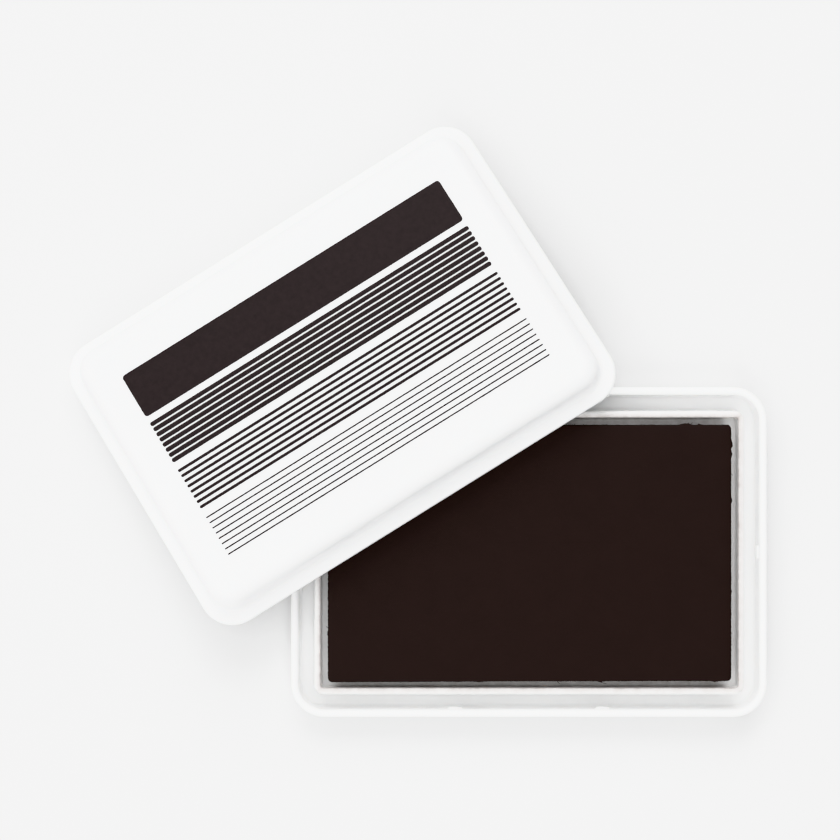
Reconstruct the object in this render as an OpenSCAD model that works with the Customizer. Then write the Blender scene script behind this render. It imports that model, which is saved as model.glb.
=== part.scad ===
// Raised ink pad in a two-part moulded case, with its lid taken off and leaned on the base.
// Origin: centre of the base's underside. +X along the base's long side, +Z up, millimetres.

/* [Pad] */
// Length of the inked pad
pad_l = 96; // [92:0.5:110]
// Width of the inked pad
pad_w = 61; // [58:0.5:80]
// Height of the pad's inked face above the table
pad_top = 11.6; // [11:0.1:14]
// Corner radius of the pad
pad_r = 1; // [0.5:0.1:1.6]
// Thickness of the woven cover laid over the foam
cover_t = 0.5; // [0.3:0.05:0.8]
// How far the cover's cut edge stands out past the foam
cover_out = 0.3; // [0.1:0.05:0.5]
// Thickness of the double-sided sheet under the foam
glue_t = 0.2; // [0.1:0.05:0.4]

/* [Base] */
// Gap between the pad and the wall around it
gap = 1.7; // [1:0.1:3]
// Thickness of the wall around the pad
wall_t = 1.7; // [1.2:0.1:2.4]
// Height of that wall above the table
wall_h = 11.1; // [10.5:0.1:13]
// Width of the channel that takes the lid's tongue
channel_w = 3.8; // [3.2:0.1:5]
// Thickness of the outer rim
rim_t = 1.8; // [1.4:0.1:2.6]
// Height of the outer rim above the table
rim_h = 8.6; // [7.5:0.1:10]
// Outer corner radius of the rim
rim_r = 8; // [7:0.5:12]
// Height of the channel's floor above the table
floor_h = 2.2; // [1.8:0.1:3]
// Height of the raised deck that the pad is stuck to
deck_h = 7; // [6:0.1:8.5]
// Thickness of that deck, which is hollow underneath
deck_t = 1.8; // [1.4:0.1:2.4]

/* [Snap] */
// Length of each snap nub on the rim's inner face
nub_l = 3.2; // [2:0.1:6]
// How far a nub stands out of the rim
nub_out = 0.5; // [0.3:0.05:0.7]
// Height of the nubs' middle above the table
nub_h = 6.4; // [5.6:0.1:7]
// Distance of the long sides' nubs from the middle
nub_x = 17.7; // [12:0.1:26]

/* [Lid] */
// How far each end of the lid stays inside the base's outline
end_in = 0.5; // [0:0.05:0.6]
// How far each long side of the lid stays inside the base's outline
side_in = 0.6; // [0:0.05:0.7]
// Play between the tongue and the rim around it
tongue_play = 0.35; // [0.2:0.05:0.45]
// Height of the lid above the underside of its flange
lid_h = 10.2; // [9:0.1:13]
// Thickness of the flange
flange_t = 1.6; // [1.2:0.1:2]
// Width of the flange, from the foot of the lid's side to its edge
flange_w = 3.2; // [2.6:0.1:4]
// Radius around the lid's top edge
edge_r = 3.8; // [1.5:0.1:4]
// Thickness of the lid's top and sides
skin_t = 1.5; // [1.2:0.1:2]
// Depth of the tongue below the flange
tongue_d = 4.2; // [3.5:0.1:5]
// Thickness of the tongue
tongue_t = 1.4; // [1.2:0.1:1.8]
// Sideways slope of the lid's sides, in degrees
draft = 5; // [1:0.5:7]

/* [Print] */
// Number of plain bars in the printed tint scale
bar_count = 4; // [1:1:4]
// Length of each bar
bar_l = 88; // [60:1:88]
// Width of each bar
bar_w = 11.5; // [4:0.5:12]
// Bare space between two bars
bar_gap = 1.4; // [0.6:0.1:2]
// Corner radius of the bars
bar_r = 0.8; // [0.2:0.1:1.5]
// Thickness of the ink
ink_t = 0.08; // [0.05:0.01:0.2]

/* [Place of the lid] */
// How far the lid is turned from the base
lid_turn = 31.9; // [30:0.1:34]
// Where the lid's middle lies along X
lid_x = -45.2; // [-46:0.1:-45]
// Where the lid's middle lies along Y
lid_y = 42.7; // [42:0.1:43.2]
// Space left between the leaning lid and the pad
lean_gap = 0.35; // [0.2:0.05:0.6]

/* [Hidden] */
$fn = 48;
eps = 0.01;

// base, outline sizes counted outwards from the pad
border = gap + wall_t + channel_w + rim_t;
base_l = pad_l + 2 * border;
base_w = pad_w + 2 * border;
rim_in_l = base_l - 2 * rim_t;
rim_in_w = base_w - 2 * rim_t;
rim_in_r = rim_r - rim_t;
wall_l = pad_l + 2 * (gap + wall_t);
wall_w = pad_w + 2 * (gap + wall_t);
wall_r = 2.6;
min_r = 0.3;
// the foot runs under the rim, the channel and the wall
foot_w = rim_t + channel_w + wall_t;
foam_l = pad_l - 2 * cover_out;
foam_w = pad_w - 2 * cover_out;
// how far the sheet under the foam stays inside the foam's edge
glue_in = 1;

// lid
lid_l = base_l - 2 * end_in;
lid_w = base_w - 2 * side_in;
tongue_l = rim_in_l - 2 * tongue_play;
tongue_w = rim_in_w - 2 * tongue_play;
tongue_r = rim_in_r - tongue_play;
tongue_in_r = tongue_r - tongue_t;
lid_r = rim_r;
side_l = lid_l - 2 * flange_w;
side_w = lid_w - 2 * flange_w;
// the side's corners are a little rounder than the flange's
side_r = lid_r - flange_w + 1.2;
// the dimples are deeper and longer than the nubs that snap into them
dimple_spare = 0.35;
dimple_d = nub_out - tongue_play + dimple_spare;
dimple_l = nub_l + 1;
// the snap nubs' height seen from the closed lid's flange
dimple_z = nub_h - rim_h;

// the lid leans on the table along one long edge and over the pad along the other
lean = asin((pad_top + lean_gap) / tongue_w);
lid_z = tongue_w / 2 * sin(lean) + tongue_d * cos(lean);

// rounded rectangle from squares and full circles
module outline(l, w, r) {
    square([l - 2 * r, w], center = true);
    square([l, w - 2 * r], center = true);
    for (x = [-1, 1], y = [-1, 1])
        translate([x * (l / 2 - r), y * (w / 2 - r)]) circle(r);
}

module plate(l, w, r, h) {
    linear_extrude(h) outline(l, w, r);
}

// upright wall whose outer face has the given size
module ring(l, w, r, t, h) {
    linear_extrude(h) difference() {
        outline(l, w, r);
        outline(l - 2 * t, w - 2 * t, max(r - t, min_r));
    }
}

// half-round crest that finishes a wall of thickness t and mean corner radius r
module crest(l, w, r, t) {
    x = l / 2 - t / 2;
    y = w / 2 - t / 2;
    for (s = [-1, 1]) {
        translate([0, s * y, 0]) rotate([0, 90, 0])
            cylinder(d = t, h = 2 * (x - r), center = true, $fn = 24);
        translate([s * x, 0, 0]) rotate([90, 0, 0])
            cylinder(d = t, h = 2 * (y - r), center = true, $fn = 24);
    }
    for (a = [0, 1, 2, 3]) {
        sx = (a == 0 || a == 3) ? 1 : -1;
        sy = a < 2 ? 1 : -1;
        translate([sx * (x - r), sy * (y - r), 0]) rotate(a * 90)
            rotate_extrude(angle = 90) translate([r, 0]) circle(d = t, $fn = 24);
    }
}

module rounded_wall(l, w, r, t, h) {
    ring(l, w, r, t, h - t / 2);
    translate([0, 0, h - t / 2]) crest(l, w, r - t / 2, t);
}

// where the snap nubs sit on an inner face of the given size: [x, y, turn]
function nub_places(l, w) = [
    [-nub_x, -w / 2, 0], [nub_x, -w / 2, 0], [-nub_x, w / 2, 0], [nub_x, w / 2, 0],
    [-l / 2, 0, 90], [l / 2, 0, 90]
];

// a lying rod of which only the part outside the wall shows
module nubs(l, w, z, d, len) {
    for (p = nub_places(l, w))
        translate([p[0], p[1], z]) rotate([0, 90, p[2]])
            cylinder(d = d, h = len, center = true, $fn = 24);
}

module base_tray() {
    color("white") {
        ring(base_l, base_w, rim_r, foot_w, floor_h);
        rounded_wall(base_l, base_w, rim_r, rim_t, rim_h);
        rounded_wall(wall_l, wall_w, wall_r, wall_t, wall_h);
        translate([0, 0, deck_h - deck_t])
            plate(wall_l - wall_t, wall_w - wall_t, wall_r - wall_t / 2, deck_t);
        nubs(rim_in_l, rim_in_w, nub_h, 2 * nub_out, nub_l);
    }
}

module pad_adhesive() {
    color("lightgray") translate([0, 0, deck_h])
        plate(foam_l - 2 * glue_in, foam_w - 2 * glue_in, pad_r, glue_t);
}

module ink_foam() {
    color([0.1, 0.08, 0.08]) translate([0, 0, deck_h + glue_t])
        plate(foam_l, foam_w, pad_r, pad_top - cover_t - deck_h - glue_t);
}

module pad_cover() {
    color([0.14, 0.10, 0.09]) translate([0, 0, pad_top - cover_t])
        plate(pad_l, pad_w, pad_r, cover_t);
}

// sets the closed lid down where it was laid, leaning across a corner of the base
module laid_down() {
    translate([lid_x, lid_y, lid_z]) rotate([0, 0, lid_turn]) rotate([-lean, 0, 0]) children();
}

// tapered cap with a rounded top edge, from four turned corners
module cap(l, w, r, h, edge) {
    top = r - (h - edge) * tan(draft);
    steps = 6;
    hull() for (x = [-1, 1], y = [-1, 1])
        translate([x * (l / 2 - r), y * (w / 2 - r), 0]) rotate_extrude($fn = 40)
            polygon(concat(
                [[0, 0], [r, 0]],
                [for (i = [0:steps]) let (a = 90 * i / steps)
                    [top - edge + edge * cos(a), h - edge + edge * sin(a)]],
                [[0, h]]
            ));
}

module lid_shell() {
    color("white") laid_down() difference() {
        union() {
            plate(lid_l, lid_w, lid_r, flange_t);
            translate([0, 0, -tongue_d]) plate(tongue_l, tongue_w, tongue_r, tongue_d + eps);
            translate([0, 0, flange_t - eps]) cap(side_l, side_w, side_r, lid_h - flange_t, edge_r);
        }
        translate([0, 0, -tongue_d - eps])
            plate(tongue_l - 2 * tongue_t, tongue_w - 2 * tongue_t, tongue_in_r, tongue_d);
        translate([0, 0, -2 * eps])
            cap(side_l - 2 * skin_t, side_w - 2 * skin_t, side_r - skin_t,
                lid_h - skin_t, edge_r - skin_t);
        nubs(tongue_l, tongue_w, dimple_z, 2 * dimple_d, dimple_l);
    }
}

// plain bars side by side across the lid's top
module lid_print() {
    pitch = bar_w + bar_gap;
    color([0.2, 0.16, 0.16]) laid_down()
        for (i = [0:bar_count - 1])
            translate([0, (i - (bar_count - 1) / 2) * pitch, lid_h - eps])
                plate(bar_l, bar_w, bar_r, ink_t);
}

base_tray();
pad_adhesive();
ink_foam();
pad_cover();
lid_shell();
lid_print();
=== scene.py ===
# Raised ink pad: moulded base with an inked pad, and the printed lid leaned across its corner.
import math
import random

import bmesh
import bpy
from mathutils import Euler, Matrix, Vector, noise


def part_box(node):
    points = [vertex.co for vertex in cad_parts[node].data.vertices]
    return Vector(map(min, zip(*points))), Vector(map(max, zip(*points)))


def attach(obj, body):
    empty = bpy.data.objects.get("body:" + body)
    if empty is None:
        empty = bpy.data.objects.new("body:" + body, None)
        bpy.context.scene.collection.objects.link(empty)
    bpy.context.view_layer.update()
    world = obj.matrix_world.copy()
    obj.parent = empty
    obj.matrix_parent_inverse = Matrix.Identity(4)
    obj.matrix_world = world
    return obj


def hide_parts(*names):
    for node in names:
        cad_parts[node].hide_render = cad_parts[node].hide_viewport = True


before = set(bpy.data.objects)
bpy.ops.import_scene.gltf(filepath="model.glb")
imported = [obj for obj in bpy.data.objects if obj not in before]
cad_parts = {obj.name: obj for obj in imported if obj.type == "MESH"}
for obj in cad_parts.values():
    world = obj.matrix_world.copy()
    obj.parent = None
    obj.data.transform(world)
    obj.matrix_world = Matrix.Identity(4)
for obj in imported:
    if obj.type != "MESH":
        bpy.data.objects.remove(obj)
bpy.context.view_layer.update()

MM = 0.001

# ---------------------------------------------------------------- sizes, in millimetres
# Outer sizes come from the parts in model.glb; the rest repeats part.scad's driving dimensions.
base_low, base_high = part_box("base_tray")
BASE_L = (base_high[0] - base_low[0]) / MM
BASE_W = (base_high[1] - base_low[1]) / MM
WALL_H = base_high[2] / MM    # the wall round the pad is the tray's highest part
cover_low, cover_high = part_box("pad_cover")
PAD_L = (cover_high[0] - cover_low[0]) / MM
PAD_W = (cover_high[1] - cover_low[1]) / MM
PAD_TOP = cover_high[2] / MM
COVER_T = PAD_TOP - cover_low[2] / MM
foam_low, foam_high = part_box("ink_foam")
FOAM_L = (foam_high[0] - foam_low[0]) / MM
FOAM_W = (foam_high[1] - foam_low[1]) / MM

RIM_T, RIM_H, RIM_R = 1.8, 8.6, 8.0
CHANNEL_W, WALL_T = 3.8, 1.7
FLOOR_H, DECK_H, DECK_T = 2.2, 7.0, 1.8
NUB_L, NUB_OUT, NUB_H, NUB_X = 3.2, 0.5, 6.4, 17.7

END_IN, SIDE_IN = 0.5, 0.6
LID_L, LID_W, LID_R, LID_H = BASE_L - 2 * END_IN, BASE_W - 2 * SIDE_IN, RIM_R, 10.2
FLANGE_T, FLANGE_W, EDGE_R, SKIN_T, DRAFT = 1.6, 3.2, 3.8, 1.5, math.radians(5)
FILLET_R = 0.8    # at the foot of the lid's side, in the render only
TONGUE_PLAY, TONGUE_D, TONGUE_T = 0.35, 4.2, 1.4
TONGUE_L = BASE_L - 2 * RIM_T - 2 * TONGUE_PLAY
TONGUE_W = BASE_W - 2 * RIM_T - 2 * TONGUE_PLAY
SIDE_R = LID_R - FLANGE_W + 1.2

BAR_COUNT, BAR_L, BAR_W, BAR_GAP, BAR_R = 4, 88.0, 11.5, 1.4, 0.8

LID_TURN, LID_X, LID_Y, LEAN_GAP = math.radians(31.9), -45.2, 42.7, 0.35
LEAN = math.asin((PAD_TOP + LEAN_GAP) / TONGUE_W)
LID_Z = TONGUE_W / 2 * math.sin(LEAN) + TONGUE_D * math.cos(LEAN)
LID_ROTATION = Euler((-LEAN, 0, LID_TURN), "XYZ").to_matrix().to_4x4()
LID_PLACE = Matrix.Translation((LID_X, LID_Y, LID_Z)) @ LID_ROTATION


# ---------------------------------------------------------------- mesh helpers
CORNER_STEPS = 14
SHARP_ANGLE = math.radians(35)
# Spacing of the points along a moulded ring: even, and finer round a snap nub.
EVEN_STEP, FINE_STEP, PAST_NUB = 2.0, 0.2, 0.6


def spots_along(half, nubs_at):
    """Positions along a straight side: even steps, with close ones round each snap nub."""
    fine_half = NUB_L / 2 + PAST_NUB
    even = [i * EVEN_STEP for i in range(-int(half / EVEN_STEP), int(half / EVEN_STEP) + 1)]
    spots = [s for s in even if all(abs(s - at) > fine_half for at in nubs_at)]
    count = int(fine_half / FINE_STEP)
    for at in nubs_at:
        spots += [at + i * FINE_STEP for i in range(-count, count + 1)]
    return sorted(spots)


# Half the straight part of the long and of the short sides, short enough for every ring.
STRAIGHT_L, STRAIGHT_W = 44, 26
ALONG = spots_along(STRAIGHT_L, [-NUB_X, NUB_X])
ACROSS = spots_along(STRAIGHT_W, [0.0])


def ring(length, width, radius, z):
    """Rounded rectangle at height z. Every ring has the same number of points, in the same order."""
    hx, hy, r = length / 2, width / 2, radius
    points = [(hx, y, z) for y in ACROSS]
    corners = [(1, 1, 0), (-1, 1, 90), (-1, -1, 180), (1, -1, 270)]
    sides = [
        [(x, hy, z) for x in reversed(ALONG)],
        [(-hx, y, z) for y in reversed(ACROSS)],
        [(x, -hy, z) for x in ALONG],
        [],
    ]
    for (sx, sy, start), side in zip(corners, sides):
        for i in range(CORNER_STEPS + 1):
            a = math.radians(start + 90 * i / CORNER_STEPS)
            points.append((sx * (hx - r) + r * math.cos(a), sy * (hy - r) + r * math.sin(a), z))
        points += side
    return points


def arc(d0, z0, radius, start, end, steps):
    """Points of an arc in a section: inset d from the outline and height z."""
    turns = [math.radians(start + (end - start) * i / steps) for i in range(steps + 1)]
    return [(d0 + radius * math.cos(t), z0 + radius * math.sin(t)) for t in turns]


def loft(rings):
    """Vertices and faces of a skin through the rings, closed at its ends."""
    n = len(rings[0])
    verts = [p for one in rings for p in one]
    faces = []
    for i in range(len(rings) - 1):
        for j in range(n):
            k = (j + 1) % n
            faces.append((i * n + j, i * n + k, (i + 1) * n + k, (i + 1) * n + j))
    last = (len(rings) - 1) * n
    faces += [tuple(reversed(range(n))), tuple(range(last, last + n))]
    return verts, faces


def make_mesh(name, verts, faces, place=None):
    """A smooth-shaded object from points in millimetres, with its place in its mesh."""
    mesh = bpy.data.meshes.new(name)
    move = place or Matrix.Identity(4)
    mesh.from_pydata([move @ Vector(v) * MM for v in verts], [], faces)
    mesh.validate()
    mesh.update()
    obj = bpy.data.objects.new(name, mesh)
    bpy.context.scene.collection.objects.link(obj)
    mesh.polygons.foreach_set("use_smooth", [True] * len(mesh.polygons))
    mesh.set_sharp_from_angle(angle=SHARP_ANGLE)
    return obj


def outward(obj):
    """Turns a closed mesh's faces outwards."""
    bm = bmesh.new()
    bm.from_mesh(obj.data)
    bmesh.ops.recalc_face_normals(bm, faces=bm.faces)
    bm.to_mesh(obj.data)
    bm.free()
    obj.data.set_sharp_from_angle(angle=SHARP_ANGLE)
    return obj


def weighted(obj):
    """Keeps large flat faces flat beside small rounded ones."""
    mod = obj.modifiers.new("weighted_normals", "WEIGHTED_NORMAL")
    mod.keep_sharp = True
    mod.weight = 80
    return obj


def corner_points(hx, hy, r):
    """The (x, y) points round a flat rounded outline's four corners, anticlockwise."""
    points = []
    for sx, sy, start in ((1, 1, 0), (-1, 1, 90), (-1, -1, 180), (1, -1, 270)):
        turns = [math.radians(start + 18 * i) for i in range(6)]
        points += [(sx * (hx - r) + r * math.cos(a), sy * (hy - r) + r * math.sin(a)) for a in turns]
    return points


# ---------------------------------------------------------------- node materials
def new_material(name, color, roughness, **extra):
    mat = bpy.data.materials.new(name)
    mat.use_nodes = True
    shader = mat.node_tree.nodes["Principled BSDF"]
    shader.inputs["Base Color"].default_value = (*color, 1)
    shader.inputs["Roughness"].default_value = roughness
    for key, value in extra.items():
        shader.inputs[key.replace("_", " ")].default_value = value
    return mat, mat.node_tree, shader


def node(tree, kind, inputs=None, **props):
    made = tree.nodes.new(kind)
    for key, value in props.items():
        setattr(made, key, value)
    for key, value in (inputs or {}).items():
        made.inputs[key].default_value = value
    return made


def noise_at(tree, scale, detail=3.0, rough=0.55, stretch_by=(1, 1, 1)):
    """Noise over the object's own coordinates; scale is in features per metre."""
    coords = node(tree, "ShaderNodeTexCoord")
    mapping = node(tree, "ShaderNodeMapping", {"Scale": stretch_by})
    tex = node(tree, "ShaderNodeTexNoise", {"Scale": scale, "Detail": detail, "Roughness": rough})
    tree.links.new(coords.outputs["Object"], mapping.inputs["Vector"])
    tree.links.new(mapping.outputs["Vector"], tex.inputs["Vector"])
    return tex.outputs["Fac"]


def ramp(tree, source, stops):
    made = node(tree, "ShaderNodeValToRGB")
    for i, (at, value) in enumerate(stops):
        stop = made.color_ramp.elements[i] if i < 2 else made.color_ramp.elements.new(at)
        stop.position = at
        stop.color = (*value, 1) if hasattr(value, "__len__") else (value, value, value, 1)
    tree.links.new(source, made.inputs["Fac"])
    return made.outputs["Color"]


def bump(tree, source, distance, strength, after=None):
    made = node(tree, "ShaderNodeBump", {"Distance": distance, "Strength": strength})
    tree.links.new(source, made.inputs["Height"])
    if after is not None:
        tree.links.new(after, made.inputs["Normal"])
    return made.outputs["Normal"]


PLASTIC_ROUGHNESS = 0.36


def moulded_plastic(name, tint):
    """Satin moulded polypropylene: spark-eroded grain, faint flow clouds and rubbed patches."""
    mat, tree, shader = new_material(
        name, tint, PLASTIC_ROUGHNESS,
        Subsurface_Weight=0.6, Subsurface_Radius=(1.0, 0.97, 0.95), Subsurface_Scale=0.002,
        IOR=1.49,
    )
    clouds = noise_at(tree, 45, 4)
    dark = tuple(c * 0.965 for c in tint)
    tree.links.new(ramp(tree, clouds, [(0.3, dark), (0.7, tint)]), shader.inputs["Base Color"])
    rubbed = noise_at(tree, 130, 5, 0.65, (1, 3, 1))
    low, high = PLASTIC_ROUGHNESS - 0.06, PLASTIC_ROUGHNESS + 0.09
    tree.links.new(ramp(tree, rubbed, [(0.35, low), (0.68, high)]), shader.inputs["Roughness"])
    grain = bump(tree, noise_at(tree, 5200, 2), 0.00002, 0.35)
    waves = bump(tree, noise_at(tree, 60, 2), 0.0002, 0.08, grain)
    tree.links.new(waves, shader.inputs["Normal"])
    return mat


def calc(tree, operation, *values):
    """One step of arithmetic; each value is a number or another node's output."""
    made = node(tree, "ShaderNodeMath", operation=operation)
    for i, value in enumerate(values):
        if isinstance(value, (int, float)):
            made.inputs[i].default_value = value
        else:
            tree.links.new(value, made.inputs[i])
    return made.outputs[0]


def fade(tree, source, start, end, first=0.0, last=1.0):
    """Goes from first to last while source goes from start to end, and stays there beyond."""
    sizes = {"From Min": start, "From Max": end, "To Min": first, "To Max": last}
    made = node(tree, "ShaderNodeMapRange", sizes)
    tree.links.new(source, made.inputs["Value"])
    return made.outputs[0]


def own_place(tree):
    """The x, y and z outputs of the object's own coordinates, in metres."""
    coords = node(tree, "ShaderNodeTexCoord")
    parts = node(tree, "ShaderNodeSeparateXYZ")
    tree.links.new(coords.outputs["Object"], parts.inputs["Vector"])
    return parts.outputs["X"], parts.outputs["Y"], parts.outputs["Z"]


# How strongly ink stain and painted shade grey the gap round the pad and the crest of the wall; the gap's
# extra darkness along the pad's long sides and the crest's darker inner side are painted shade.
GAP_STAIN_AND_SHADE_SIDES, GAP_STAIN_AND_SHADE_ENDS, CREST_STAIN_AND_SHADE = 0.48, 0.15, 0.62
STAIN_AND_SHADE_COLOR = (0.24, 0.2, 0.185, 1)
# Where the stain and painted shade come and go, as a start and an end in millimetres. The first four are
# distances out from the pad's outline, the last two are heights above the table.
CORNERS_LIT, STAIN_AND_SHADE_STARTS, GAP_ENDS, CREST_FADES = (-3.2, -0.6), (0.0, 0.2), (1.9, 2.2), (1.7, 3.6)
CREST_HEIGHT, DECK_HEIGHT = (10.0, 10.7), (6.0, 6.9)


def ink_stain_and_painted_shade(mat):
    """Ink crept out of the pad, with painted shade: greys the gap, most along the pad's long sides and less
    near the corners, and the crest round it, most on its inner side.
    """

    def across(source, span, first=0.0, last=1.0):
        return fade(tree, source, span[0] * MM, span[1] * MM, first, last)

    tree = mat.node_tree
    shader = tree.nodes["Principled BSDF"]
    clean = shader.inputs["Base Color"].links[0].from_socket
    x, y, z = own_place(tree)
    past_end = calc(tree, "SUBTRACT", calc(tree, "ABSOLUTE", x), PAD_L / 2 * MM)
    past_side = calc(tree, "SUBTRACT", calc(tree, "ABSOLUTE", y), PAD_W / 2 * MM)
    past = calc(tree, "MAXIMUM", past_end, past_side)
    patchy_level = fade(tree, noise_at(tree, 420, 4, 0.65), 0.3, 0.7, 0.75, 1.25)
    # Painted shade: the gap clears towards the pad's corners, where light comes into it from two sides.
    away_from_lit_corners = across(past_end, CORNERS_LIT, 1.0, 0.0)
    beside = calc(tree, "MULTIPLY", across(past_side, STAIN_AND_SHADE_STARTS), away_from_lit_corners)
    gap_shade_level = calc(tree, "MULTIPLY_ADD", beside, GAP_STAIN_AND_SHADE_SIDES - GAP_STAIN_AND_SHADE_ENDS, GAP_STAIN_AND_SHADE_ENDS)
    gap_shade_level = calc(tree, "MULTIPLY", gap_shade_level, across(past, GAP_ENDS, 1.0, 0.0))
    crest_shade_level = across(past, CREST_FADES, CREST_STAIN_AND_SHADE, 0.0)
    at_crest = across(z, CREST_HEIGHT)
    gap_part = calc(tree, "MULTIPLY", gap_shade_level, calc(tree, "SUBTRACT", 1.0, at_crest))
    crest_part = calc(tree, "MULTIPLY", crest_shade_level, at_crest)
    level = calc(tree, "ADD", gap_part, crest_part)
    level = calc(tree, "MULTIPLY", level, across(z, DECK_HEIGHT))
    mix = node(tree, "ShaderNodeMix", {"B": STAIN_AND_SHADE_COLOR}, data_type="RGBA")
    tree.links.new(calc(tree, "MULTIPLY", level, patchy_level), mix.inputs["Factor"])
    tree.links.new(clean, mix.inputs["A"])
    tree.links.new(mix.outputs["Result"], shader.inputs["Base Color"])
    return mat


WEAVE_PITCH = 0.42 * MM


def woven_fabric():
    """Plain weave soaked with black ink."""
    mat, tree, shader = new_material(
        "inked_weave", (0.016, 0.0105, 0.0095), 0.62,
        Sheen_Weight=0.03, Sheen_Roughness=0.5, Specular_IOR_Level=0.2,
    )
    x, y, _ = own_place(tree)

    def yarns(place):
        return calc(tree, "SINE", calc(tree, "MULTIPLY", place, 2 * math.pi / WEAVE_PITCH))

    crossings = calc(tree, "MULTIPLY", yarns(x), yarns(y))
    fibres = noise_at(tree, 9000, 3, 0.6)
    weave = calc(tree, "MULTIPLY_ADD", fibres, 0.5, calc(tree, "MULTIPLY_ADD", crossings, 0.35, 0.5))
    patches = noise_at(tree, 160, 4, 0.6)
    tone = calc(tree, "MULTIPLY", weave, ramp(tree, patches, [(0.25, 0.86), (0.75, 1.12)]))
    tree.links.new(
        ramp(tree, tone, [(0.15, (0.0105, 0.0068, 0.0062)), (1.0, (0.022, 0.0145, 0.0132))]),
        shader.inputs["Base Color"],
    )
    tree.links.new(bump(tree, weave, 0.00006, 0.5), shader.inputs["Normal"])
    return mat


def inked_foam():
    mat, tree, shader = new_material("inked_foam", (0.02, 0.015, 0.014), 0.8)
    pores = node(tree, "ShaderNodeTexVoronoi", {"Scale": 1900.0}, feature="F1")
    coords = node(tree, "ShaderNodeTexCoord")
    tree.links.new(coords.outputs["Object"], pores.inputs["Vector"])
    # The pits of the pores are painted darker: painted shade.
    tree.links.new(
        ramp(tree, pores.outputs["Distance"], [(0.1, (0.008, 0.006, 0.0055)), (0.6, (0.028, 0.021, 0.019))]),
        shader.inputs["Base Color"],
    )
    tree.links.new(bump(tree, pores.outputs["Distance"], 0.0003, 0.7), shader.inputs["Normal"])
    return mat


def printed_ink():
    """Printed ink: nearly flat, with a faint mottle and a slightly rough skin."""
    mat, tree, shader = new_material("printed_ink", (0.019, 0.013, 0.0135), 0.5, Specular_IOR_Level=0.28)
    mottle = noise_at(tree, 700, 5, 0.7)
    tree.links.new(
        ramp(tree, mottle, [(0.3, (0.016, 0.0105, 0.011)), (0.72, (0.023, 0.016, 0.0165))]),
        shader.inputs["Base Color"],
    )
    tree.links.new(bump(tree, noise_at(tree, 4200, 3), 0.00001, 0.5), shader.inputs["Normal"])
    return mat


def glue_sheet():
    mat, tree, shader = new_material("adhesive_sheet", (0.7, 0.67, 0.58), 0.35)
    weave = noise_at(tree, 900, 3)
    tree.links.new(
        ramp(tree, weave, [(0.3, (0.62, 0.59, 0.5)), (0.7, (0.74, 0.71, 0.62))]), shader.inputs["Base Color"]
    )
    tree.links.new(bump(tree, weave, 0.00005, 0.4), shader.inputs["Normal"])
    return mat


def table_top():
    mat, tree, shader = new_material("table_top", (0.76, 0.76, 0.76), 0.7)
    tree.links.new(bump(tree, noise_at(tree, 900, 2), 0.00003, 0.2), shader.inputs["Normal"])
    return mat


# ---------------------------------------------------------------- base tray
def nub_places(length, width):
    """(x, y, along X) of the six snap nubs on a face of that size."""
    long_sides = [(sx * NUB_X, sy * width / 2, True) for sx in (-1, 1) for sy in (-1, 1)]
    return long_sides + [(sx * length / 2, 0.0, False) for sx in (-1, 1)]


NUB_END = 0.5    # length of a nub's rounded end
NUB_NEAR = 0.9    # a wall's point nearer than this to a nub's place belongs to its face


def swell(point, places, z, reach, half, out):
    """Moves a point of a side wall towards the middle, where a snap nub or a dimple is."""
    x, y, height = point
    for px, py, along_x in places:
        across = abs(y - py) if along_x else abs(x - px)
        along = abs(x - px) if along_x else abs(y - py)
        if across > NUB_NEAR or along > half + NUB_END or abs(height - z) > reach:
            continue
        end = min(1.0, (half + NUB_END - along) / NUB_END)
        lift = out * math.sqrt(max(0.0, 1 - ((height - z) / reach) ** 2)) * end * (2 - end)
        if along_x:
            y -= math.copysign(lift, py)
        else:
            x -= math.copysign(lift, px)
    return x, y, height


# Moulded radii of the tray, from the hollow under its deck, over the rim and the wall, to the deck.
HOLLOW_R, FOOT_R, RIM_OUT_R, RIM_IN_R = 0.5, 0.8, 0.75, 0.95
CHANNEL_OUT_R, CHANNEL_IN_R, WALL_OUT_R, WALL_IN_R, DECK_R = 0.7, 0.8, 0.78, 0.5, 0.4
# The tray's sides slope a little for the mould: how far each has moved in at its far end.
FOOT_SLOPE, RIM_SLOPE, WALL_SLOPE = 0.35, 0.12, 0.14
NUB_REACH = 0.55    # half height of a nub on the rim's inner face


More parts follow.
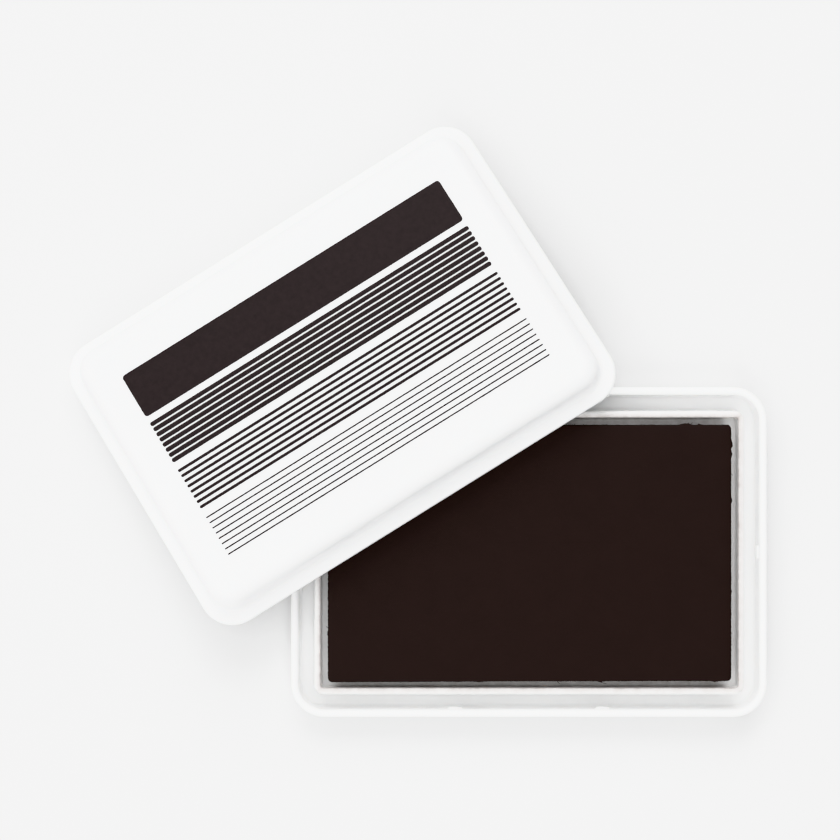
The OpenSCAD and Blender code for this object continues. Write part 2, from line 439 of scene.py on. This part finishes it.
def build_base():
    """The tray, as one section of inset and height that runs round the outline."""
    channel_out = RIM_T + RIM_SLOPE
    wall_out = RIM_T + CHANNEL_W
    wall_in = wall_out + WALL_T
    under = DECK_H - DECK_T
    section = [(wall_in + 1.4, under)]
    section += arc(wall_in + HOLLOW_R, under - HOLLOW_R, HOLLOW_R, 90, 180, 4)
    section += [(wall_in - 0.03, 0.35), (wall_in - 0.12, 0.1), (wall_in - 0.35, 0.0)]
    section += arc(FOOT_SLOPE + FOOT_R, FOOT_R, FOOT_R, 270, 180, 5)
    section += [(0.25, 2.4), (0.12, 5.0)]
    section += arc(RIM_OUT_R, RIM_H - RIM_OUT_R, RIM_OUT_R, 180, 90, 6)
    section += arc(RIM_T - RIM_IN_R, RIM_H - RIM_IN_R, RIM_IN_R, 90, 0, 7)
    section += [(RIM_T + 0.01, NUB_H + NUB_REACH * math.cos(math.pi * i / 8)) for i in range(9)]
    section += [(RIM_T + 0.06, NUB_H - 0.9)]
    section += arc(channel_out + CHANNEL_OUT_R, FLOOR_H + CHANNEL_OUT_R, CHANNEL_OUT_R, 180, 270, 6)
    section += arc(wall_out - CHANNEL_IN_R, FLOOR_H + CHANNEL_IN_R, CHANNEL_IN_R, 270, 360, 6)
    section += [(wall_out + 0.06, 5.5), (wall_out + 0.12, 8.5)]
    section += arc(wall_out + WALL_SLOPE + WALL_OUT_R, WALL_H - WALL_OUT_R, WALL_OUT_R, 180, 90, 7)
    section += arc(wall_in - WALL_IN_R, WALL_H - WALL_IN_R, WALL_IN_R, 90, 0, 5)
    section += arc(wall_in + DECK_R, DECK_H + DECK_R, DECK_R, 180, 270, 4)
    section += [(wall_in + 1.6, DECK_H)]
    rings = []
    places = nub_places(BASE_L - 2 * RIM_T, BASE_W - 2 * RIM_T)
    for d, z in section:
        one = ring(BASE_L - 2 * d, BASE_W - 2 * d, max(RIM_R - d, 0.8), z)
        if RIM_T - 0.01 < d < channel_out:
            one = [swell(p, places, NUB_H, NUB_REACH, NUB_L / 2 - 0.3, NUB_OUT) for p in one]
        rings.append(one)
    tray = outward(make_mesh("base_tray_moulding", *loft(rings)))
    return weighted(tray)


# ---------------------------------------------------------------- lid
EDGE_TOP_R, EDGE_LOW_R = 0.65, 0.4    # round the edge of the flange
DIMPLE_REACH, DIMPLE_DEPTH = 0.8, 0.5


def quarter(steps, first=0):
    """Angles of a quarter turn in that many steps, from step first on."""
    return [math.radians(90 * i / steps) for i in range(first, steps + 1)]


def inset_by(length, width, radius, d):
    """Size and corner radius of an outline moved inwards by d."""
    return length - 2 * d, width - 2 * d, radius - d


def build_lid():
    """The lid, as rings of length, width, corner radius and height above the flange's underside."""
    side_l, side_w = LID_L - 2 * FLANGE_W, LID_W - 2 * FLANGE_W
    lean_in = math.tan(DRAFT)

    def side(z, inset=0.0):
        """Size and corner radius of the lid's outer side at height z."""
        d = (z - FLANGE_T) * lean_in + inset
        return side_l - 2 * d, side_w - 2 * d, max(SIDE_R - d, 0.6)

    def lining(z, inset=0.0):
        """The same of the hollow inside it."""
        d = max(z, 0) * lean_in + inset + SKIN_T
        return side_l - 2 * d, side_w - 2 * d, max(SIDE_R - d, 0.5)

    stations = []
    for a in reversed(quarter(8)):
        z = LID_H - EDGE_R + EDGE_R * math.sin(a)
        stations.append((*side(LID_H - EDGE_R, EDGE_R - EDGE_R * math.cos(a)), z))
    stations += [(*side(z), z) for z in (6.0, 4.5, 3.0, FLANGE_T + FILLET_R)]
    for a in quarter(6, first=1):
        z = FLANGE_T + FILLET_R * (1 - math.sin(a))
        stations.append((*side(z, -FILLET_R * (1 - math.cos(a))), z))
    for a in reversed(quarter(6)):
        d = EDGE_TOP_R - EDGE_TOP_R * math.cos(a)
        z = FLANGE_T - EDGE_TOP_R + EDGE_TOP_R * math.sin(a)
        stations.append((*inset_by(LID_L, LID_W, LID_R, d), z))
    for a in quarter(4, first=1):
        d = EDGE_LOW_R - EDGE_LOW_R * math.cos(a)
        stations.append((*inset_by(LID_L, LID_W, LID_R, d), EDGE_LOW_R - EDGE_LOW_R * math.sin(a)))
    tongue_r = RIM_R - RIM_T - TONGUE_PLAY
    dimple_z = NUB_H - RIM_H
    tongue_out = [0.0, -0.6]
    tongue_out += [dimple_z + DIMPLE_REACH * math.cos(math.pi * i / 10) for i in range(11)]
    tongue_out += [-TONGUE_D + 0.3]
    stations += [(TONGUE_L, TONGUE_W, tongue_r, z) for z in tongue_out]
    stations += [(TONGUE_L - 0.35, TONGUE_W - 0.35, tongue_r - 0.17, -TONGUE_D + 0.05)]
    stations += [(TONGUE_L - 0.7, TONGUE_W - 0.7, tongue_r - 0.35, -TONGUE_D)]
    inner_l, inner_w, inner_r = inset_by(TONGUE_L, TONGUE_W, tongue_r, TONGUE_T)
    stations += [(inner_l + 0.5, inner_w + 0.5, inner_r + 0.25, -TONGUE_D)]
    stations += [(inner_l, inner_w, inner_r, -TONGUE_D + 0.25), (inner_l, inner_w, inner_r, -0.3)]
    stations += [(inner_l - 0.3, inner_w - 0.3, inner_r - 0.15, -0.02)]
    stations += [(*lining(-0.02, -0.25), -0.02)]
    stations += [(*lining(z), z) for z in (0.2, 2.5, 5.0)]
    ceiling, inner_edge = LID_H - SKIN_T, EDGE_R - SKIN_T
    for a in quarter(5):
        inset = inner_edge - inner_edge * math.cos(a)
        z = ceiling - inner_edge + inner_edge * math.sin(a)
        stations.append((*lining(ceiling - inner_edge, inset), z))
    places = nub_places(TONGUE_L, TONGUE_W)
    rings = []
    for length, width, radius, z in stations:
        one = ring(length, width, radius, z)
        if abs(length - TONGUE_L) < 0.01:
            half = NUB_L / 2 + 0.2
            one = [swell(p, places, dimple_z, DIMPLE_REACH, half, DIMPLE_DEPTH) for p in one]
        rings.append(one)
    lid = outward(make_mesh("lid_moulding", *loft(rings), place=LID_PLACE))
    return weighted(lid)


# ---------------------------------------------------------------- print on the lid
INK_SINK, INK_T = 0.005, 0.035
BAR_NAMES = ("print_bar_solid", "print_bar_dark", "print_bar_medium", "print_bar_light")
LINES_PER_BAR = 8    # in each bar that isn't solid
# A printed edge wavers this much; then the noise's scale per millimetre, and the points' distance.
EDGE_WAVER, WAVER_SCALE, EDGE_STEP = 0.04, 1.9, 0.4


def slab(outline, z, thick, verts, faces):
    """Adds a thin closed plate with that outline, anticlockwise, to verts and faces."""
    n, first = len(outline), len(verts)
    verts += [(x, y, z + thick) for x, y in outline] + [(x, y, z) for x, y in outline]
    faces.append(tuple(range(first, first + n)))
    faces.append(tuple(reversed(range(first + n, first + 2 * n))))
    for i in range(n):
        k = (i + 1) % n
        faces.append((first + i, first + n + i, first + n + k, first + k))


def stroke_outline(middle_y, width):
    """Outline of one printed stroke as long as a bar, whose edges waver a little."""
    hx, hy = BAR_L / 2, width / 2
    corners = corner_points(hx, hy, min(BAR_R, 0.45 * width))
    points = []
    for i, (x0, y0) in enumerate(corners):
        x1, y1 = corners[(i + 1) % len(corners)]
        count = max(1, round(math.hypot(x1 - x0, y1 - y0) / EDGE_STEP))
        points += [(x0 + (x1 - x0) * k / count, y0 + (y1 - y0) * k / count) for k in range(count)]
    outline = []
    for x, y in points:
        waver = EDGE_WAVER * noise.noise(Vector((x * WAVER_SCALE, (y + middle_y) * WAVER_SCALE, 2.0)))
        outline.append((x * (1 + waver / hx), middle_y + y * (1 + waver / hy)))
    return outline


def build_print():
    """Tint scale: a solid bar, then bars ruled with lines that cover less and less of them."""
    ink = printed_ink()
    pitch = BAR_W / LINES_PER_BAR
    pieces = []
    for i, name in enumerate(BAR_NAMES):
        middle_y = ((BAR_COUNT - 1) / 2 - i) * (BAR_W + BAR_GAP)
        lines_at, width = [middle_y], BAR_W
        if i > 0:
            lines_at = [middle_y + (k - (LINES_PER_BAR - 1) / 2) * pitch for k in range(LINES_PER_BAR)]
            width = pitch * (1 - i / BAR_COUNT)
        verts, faces = [], []
        for y in lines_at:
            slab(stroke_outline(y, width), LID_H - INK_SINK, INK_T, verts, faces)
        piece = make_mesh(name, verts, faces, place=LID_PLACE)
        piece.data.materials.append(ink)
        pieces.append(piece)
    return pieces


# ---------------------------------------------------------------- pad
# Lumps on the cover's cut edge: side, place along it, half width and how far it stands out.
LUMPS = [
    ("back", 37.2, 0.9, 0.42), ("back", 40.6, 0.5, 0.2), ("back", 29.0, 0.5, 0.15),
    ("back", -6.0, 0.8, 0.2), ("right", 26.0, 0.9, 0.34), ("right", 23.6, 0.6, 0.22),
    ("right", 12.5, 0.5, 0.16), ("right", -9.0, 0.7, 0.15), ("front", 44.3, 0.8, 0.2),
    ("front", 17.0, 0.6, 0.22), ("front", -12.0, 0.5, 0.14), ("left", -19.0, 0.6, 0.2),
]
# Threads that hang loose from the cut edge: start, direction over the table, length, and how much
# they curl upwards and sideways.
LOOSE_THREADS = [
    ((16.6, -30.6), (1.0, -0.55), 1.8, 0.15), ((6.6, -30.6), (0.7, -0.8), 0.8, 0.05),
    ((37.0, 30.5), (-1.0, 0.35), 1.1, 0.3), ((38.1, 30.5), (0.9, 0.4), 0.9, 0.2),
    ((48.0, 25.4), (0.5, 1.0), 0.9, 0.25), ((48.0, 18.9), (0.6, -1.0), 0.6, 0.1),
    ((-47.9, -18.0), (-0.8, 0.9), 0.7, 0.1), ((-30.2, -30.5), (-1.0, -0.5), 0.9, 0.1),
]
PAD_R = 1.0
# The cut edge: how ragged it is, the distance of its points, and how far in it is felt.
RAGGED, CUT_STEP, RAGGED_REACH = 0.14, 0.25, 1.5
# How far the front edge of the cut cover stands out at its left end.
CUT_SKEW = 0.3
# Rings of the cover's face: their distances from its edge, and how far the first ones are rounded down.
COVER_INSETS = [0.0, 0.12, 0.3, 0.6, 1.0, 1.6, 2.4, 3.5, 5, 7, 9.5, 12.5, 16, 20, 24, 28]
EDGE_DROPS = [0.2, 0.07, 0.02]


def side_of(p, hx, hy):
    """Which edge of the pad an outline point belongs to, and its place along that edge."""
    if hx - abs(p.x) < hy - abs(p.y):
        return ("right" if p.x > 0 else "left"), p.y
    return ("back" if p.y > 0 else "front"), p.x


def cut_outline():
    """Outline of the cut cover: its points with how far each stands out, as cut cloth does."""
    hx, hy = PAD_L / 2, PAD_W / 2
    corners = [Vector((x, y, 0)) for x, y in corner_points(hx, hy, PAD_R)]
    result = []
    for i, p in enumerate(corners):
        q = corners[(i + 1) % len(corners)]
        count = max(1, round((q - p).length / CUT_STEP))
        for k in range(count):
            at = p.lerp(q, k / count)
            fine = noise.noise(Vector((at.x * 2.1, at.y * 2.1, 5.0)))
            broad = noise.noise(Vector((at.x * 0.2, at.y * 0.2, 12.0)))
            out = RAGGED * (0.8 * fine + 0.7 * broad)
            side, along = side_of(at, hx, hy)
            for where, middle, half, height in LUMPS:
                if where == side and abs(along - middle) < 2 * half:
                    bulge = math.cos(math.pi * (along - middle) / (4 * half)) ** 2
                    out += height * bulge * (1 + 0.8 * fine)
            result.append((at, out))
    return result


# The foam starts smaller than its CAD block by the inset, and swells by no more than the last value.
FOAM_INSET, FOAM_R, FOAM_VOXEL, FOAM_SWELL = 0.35, 1.3, 0.9, 0.3
SWELL_FRAMES, SWELL_PRESSURE = 14, 3.0


def build_foam():
    """Foam block: swelled a little by a cloth simulation, so its sides bulge between the corners."""
    z0, z1 = foam_low[2] / MM, foam_high[2] / MM
    section = [(FOAM_INSET + 0.5, z0), (FOAM_INSET, z0 + 0.4), (FOAM_INSET, z1 - 0.4)]
    section += [(FOAM_INSET + 0.4, z1 - 0.1)]
    rings = [ring(FOAM_L - 2 * d, FOAM_W - 2 * d, FOAM_R, z) for d, z in section]
    block = outward(make_mesh("ink_foam_block", *loft(rings)))
    mod = block.modifiers.new("remesh", "REMESH")
    mod.mode = "VOXEL"
    mod.voxel_size = FOAM_VOXEL * MM
    apply_modifiers(block)
    rest = [v.co.copy() for v in block.data.vertices]
    puff(block)
    cap_move(block, rest, FOAM_SWELL * MM)
    for v in block.data.vertices:
        for i in range(3):
            v.co[i] = min(max(v.co[i], foam_low[i]), foam_high[i])
    block.data.polygons.foreach_set("use_smooth", [True] * len(block.data.polygons))
    sub = block.modifiers.new("round_off", "SUBSURF")
    sub.levels = sub.render_levels = 1
    apply_modifiers(block)
    return block


def apply_modifiers(obj):
    """Bakes the object's modifiers into its mesh."""
    graph = bpy.context.evaluated_depsgraph_get()
    graph.update()
    done = bpy.data.meshes.new_from_object(obj.evaluated_get(graph))
    obj.modifiers.clear()
    obj.data = done


def puff(obj):
    """Blows the closed mesh up with a short cloth simulation and keeps the last frame."""
    cloth = obj.modifiers.new("cloth", "CLOTH")
    settings = cloth.settings
    settings.use_pressure = True
    settings.uniform_pressure_force = SWELL_PRESSURE
    settings.effector_weights.gravity = 0
    settings.mass = 0.1
    settings.tension_stiffness = settings.compression_stiffness = 25
    settings.bending_stiffness = 4
    cloth.point_cache.frame_start = 1
    cloth.point_cache.frame_end = SWELL_FRAMES
    scene = bpy.context.scene
    for f in range(1, SWELL_FRAMES + 1):
        scene.frame_set(f)
    apply_modifiers(obj)
    scene.frame_set(1)


def cap_move(obj, rest, most):
    """No point ends further than most from where it was."""
    for v, was in zip(obj.data.vertices, rest):
        move = v.co - was
        if move.length > most:
            v.co = was + move * (most / move.length)


def cover_height(x, y):
    """Unevenness of the cover's face, in millimetres: it sinks a little towards its edges."""
    near = min(PAD_L / 2 - abs(x), PAD_W / 2 - abs(y))
    edge = max(0.0, 1 - max(near, 0) / 2.6) ** 2
    hills = noise.noise(Vector((x * 0.06, y * 0.06, 3.1))) * 0.05
    ripples = noise.noise(Vector((x * 0.35, y * 0.35, 9.4))) * 0.02
    return hills + ripples - 0.07 - 0.16 * edge


def build_cover():
    """The cut sheet: two rings down its edge, then rings over its face up to the middle."""
    outline = cut_outline()
    half_l, half_w = PAD_L / 2, PAD_W / 2

    def place_on_cover(p, ragged, d):
        """A point of the outline moved in by d. It is ragged near the edge, and cut out of square."""
        x = p.x * (half_l - d) / half_l
        y = p.y * (half_w - d) / half_w
        push = ragged * max(0.0, 1 - d / RAGGED_REACH)
        if abs(p.x / half_l) > abs(p.y / half_w):
            x += math.copysign(push, p.x)
        else:
            y += math.copysign(push, p.y)
        return x, y - CUT_SKEW * max(0.0, -y / half_w) * (0.5 - x / PAD_L) ** 2

    rings = []
    underside = PAD_TOP - COVER_T
    for d, z in [(0.15, underside + 0.02), (0.02, underside + 0.12)]:
        rings.append([(*place_on_cover(p, ragged, d), z) for p, ragged in outline])
    for i, d in enumerate(COVER_INSETS):
        drop = EDGE_DROPS[i] if i < len(EDGE_DROPS) else 0.0
        one = []
        for p, ragged in outline:
            x, y = place_on_cover(p, ragged, d)
            one.append((x, y, PAD_TOP + cover_height(x, y) - drop))
        rings.append(one)
    return outward(make_mesh("pad_cover_cloth", *loft(rings)))


YARN_SIDES, YARN_STEPS, YARN_TAPER = 6, 6, 0.55
SHORT_END_R, LOOSE_THREAD_R = 0.055, 0.075
ENDS_PER_MM = 1.1
# The ends leave the cut edge this far below the pad's face, and start this far inside the edge.
FRAY_DEPTH, SHORT_END_INSIDE, THREAD_INSIDE = 0.34, 0.3, 0.25


def tube(path, radius, verts, faces):
    """Adds a thin closed tube that tapers to its end along a path of vectors."""
    sides = YARN_SIDES
    first = len(verts)
    for i, p in enumerate(path):
        ahead = path[min(i + 1, len(path) - 1)] - path[max(i - 1, 0)]
        across = ahead.cross(Vector((0, 0, 1)))
        across = across.normalized() if across.length > 1e-6 else Vector((1, 0, 0))
        up = across.cross(ahead).normalized()
        size = radius * (1 - YARN_TAPER * i / (len(path) - 1))
        for k in range(sides):
            a = 2 * math.pi * k / sides
            verts.append(tuple(p + (across * math.cos(a) + up * math.sin(a)) * size))
    for i in range(len(path) - 1):
        for k in range(sides):
            n = (k + 1) % sides
            a, b = first + i * sides, first + (i + 1) * sides
            faces.append((a + k, a + n, b + n, b + k))
    faces.append(tuple(reversed(range(first, first + sides))))
    last = first + (len(path) - 1) * sides
    faces.append(tuple(range(last, last + sides)))


def thread(start, heading, length, curl, radius, verts, faces):
    """One loose end of yarn: leaves the cut edge, curls up and sideways, and droops at its end."""
    across = Vector((-heading.y, heading.x, 0))
    path = []
    for i in range(YARN_STEPS + 1):
        t = i / YARN_STEPS
        lift = curl * length * t - (curl + 0.25) * length * t * t
        bend = across * curl * length * t * t
        path.append(start + heading * length * t + bend + Vector((0, 0, lift)))
    tube(path, radius, verts, faces)


def build_fray():
    """Loose ends of the weave along the cut edges: many short ones, and a few threads that hang free."""
    chance = random.Random(21)
    verts, faces = [], []
    level = PAD_TOP - FRAY_DEPTH
    sides = [
        (Vector((-1, 0, 0)), Vector((0, 1, 0)), PAD_L, PAD_W / 2),
        (Vector((1, 0, 0)), Vector((0, -1, 0)), PAD_L, PAD_W / 2),
        (Vector((0, -1, 0)), Vector((-1, 0, 0)), PAD_W, PAD_L / 2),
        (Vector((0, 1, 0)), Vector((1, 0, 0)), PAD_W, PAD_L / 2),
    ]
    for along, out, length, reach in sides:
        for _ in range(int(length * ENDS_PER_MM)):
            at = chance.uniform(-0.49, 0.49) * length
            root = Vector((0, 0, level - chance.uniform(0, 0.12)))
            start = along * at + out * (reach - SHORT_END_INSIDE) + root
            heading = (out + along * chance.uniform(-1.3, 1.3)).normalized()
            size = SHORT_END_INSIDE + chance.uniform(0.08, 0.26)
            thread(start, heading, size, chance.uniform(-0.35, 0.35), SHORT_END_R, verts, faces)
    for (x, y), (dx, dy), length, curl in LOOSE_THREADS:
        heading = Vector((dx, dy, 0)).normalized()
        start = Vector((x, y, level)) - heading * THREAD_INSIDE
        thread(start, heading, length + THREAD_INSIDE, curl, LOOSE_THREAD_R, verts, faces)
    return make_mesh("pad_cover_fray", verts, faces)


# ---------------------------------------------------------------- camera and studio
CAMERA_H, VIEW_W = 540.0, 204.3
CAMERA_X, CAMERA_Y = -26.1, 31.65
SENSOR_W = 36


def add_camera():
    data = bpy.data.cameras.new("camera")
    data.sensor_width = SENSOR_W
    data.lens = SENSOR_W * CAMERA_H / VIEW_W
    cam = bpy.data.objects.new("camera", data)
    cam.location = (CAMERA_X * MM, CAMERA_Y * MM, CAMERA_H * MM)
    bpy.context.scene.collection.objects.link(cam)
    bpy.context.scene.camera = cam


# Soft boxes of a light tent: angle from +X, height angle, watts. Distances and sizes are in metres.
SOFT_BOXES = [
    ("back", 90, 42, 70), ("back_left", 135, 42, 20), ("left", 180, 42, 18),
    ("front_left", 225, 42, 18), ("front", 270, 42, 40), ("overhead", 90, 89, 26),
]
BOX_DISTANCE, BOX_SIZE = 3.4, 2.2
SKY_STRENGTH = 0.5
TABLE_SIZE, TABLE_DROP = 12.0, 0.00002    # it lies a little under the foot, so that no faces coincide


def add_soft_box(name, compass, height, watts):
    aim = Vector((-0.02, 0.03, 0))
    a, e = math.radians(compass), math.radians(height)
    away = Vector((math.cos(e) * math.cos(a), math.cos(e) * math.sin(a), math.sin(e)))
    data = bpy.data.lights.new(name, "AREA")
    data.energy = watts
    data.shape = "SQUARE"
    data.size = BOX_SIZE
    light = bpy.data.objects.new(name, data)
    light.location = aim + away * BOX_DISTANCE
    light.rotation_euler = away.to_track_quat("Z", "Y").to_euler()
    bpy.context.scene.collection.objects.link(light)


def add_studio():
    scene = bpy.context.scene
    scene.view_settings.view_transform = "Khronos PBR Neutral"
    world = bpy.data.worlds.new("studio")
    world.use_nodes = True
    sky = world.node_tree.nodes["Background"]
    sky.inputs["Color"].default_value = (1.0, 1.0, 1.0, 1)
    sky.inputs["Strength"].default_value = SKY_STRENGTH
    scene.world = world
    for box in SOFT_BOXES:
        add_soft_box(*box)
    h = TABLE_SIZE / 2
    floor = bpy.data.meshes.new("table")
    floor.from_pydata([(-h, -h, 0), (h, -h, 0), (h, h, 0), (-h, h, 0)], [], [(0, 1, 2, 3)])
    table = bpy.data.objects.new("table", floor)
    table.location.z = -TABLE_DROP
    floor.materials.append(table_top())
    scene.collection.objects.link(table)


# ---------------------------------------------------------------- put together
add_camera()
add_studio()

case = build_base()
# The case's colour carries ink stain and painted shade round the pad.
case.data.materials.append(ink_stain_and_painted_shade(moulded_plastic("case_plastic", (0.925, 0.925, 0.922))))
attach(case, "base")
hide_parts("base_tray")

foam = build_foam()
foam.data.materials.clear()
foam.data.materials.append(inked_foam())
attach(foam, "base")
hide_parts("ink_foam")

weave = woven_fabric()
cover = build_cover()
cover.data.materials.append(weave)
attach(cover, "base")
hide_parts("pad_cover")
fray = build_fray()
fray.data.materials.append(weave)
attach(fray, "base")

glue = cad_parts["pad_adhesive"]
glue.data.materials.clear()
glue.data.materials.append(glue_sheet())

lid = build_lid()
# The lid's plastic is the case's, tinted whiter: painted light for the brighter-lit lid.
lid.data.materials.append(moulded_plastic("lid_plastic", (0.957, 0.957, 0.955)))
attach(lid, "lid")
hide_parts("lid_shell")

for piece in build_print():
    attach(piece, "lid")
    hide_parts("lid_print")
